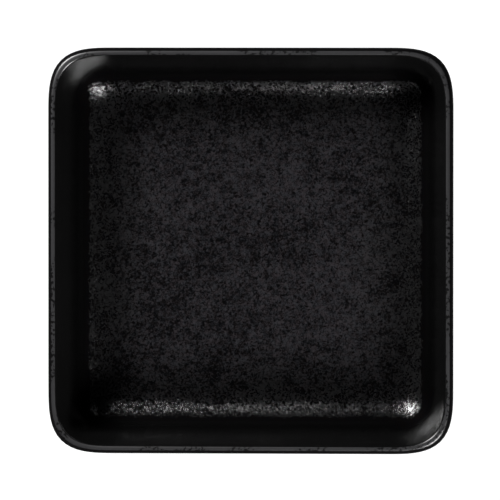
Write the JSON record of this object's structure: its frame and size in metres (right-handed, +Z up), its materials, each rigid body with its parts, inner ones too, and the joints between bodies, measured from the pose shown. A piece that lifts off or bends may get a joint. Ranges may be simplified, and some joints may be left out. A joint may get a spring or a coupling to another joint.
{
  "type": "square deep plate",
  "caption": "Square deep plate with rounded corners, leaning walls that curve into the floor and a rounded lip, in semi-gloss black glaze with a mottled dark grey well, on a bare foot ring.",
  "frame": {"origin": "middle of the plane that the foot ring stands on", "axes": "+Z up out of the well, +X and +Y square to two neighbouring sides"},
  "size_m": [0.2, 0.2, 0.045],
  "materials": {
    "fired_clay": "bare vitrified clay, fine and matt, wiped clean of glaze on the foot ring",
    "black_glaze": "semi-gloss black glaze, thinning to a flecked grey along the lip",
    "mottled_glaze": "semi-gloss reactive glaze, dark grey with a slight mauve cast, crowded with fine matt near-black specks"
  },
  "bodies": {
    "root": {"clay_body": "fired_clay", "black_wall_glaze": "black_glaze", "mottled_well_glaze": "mottled_glaze", "black_base_glaze": "black_glaze"}
  },
  "joints": []
}
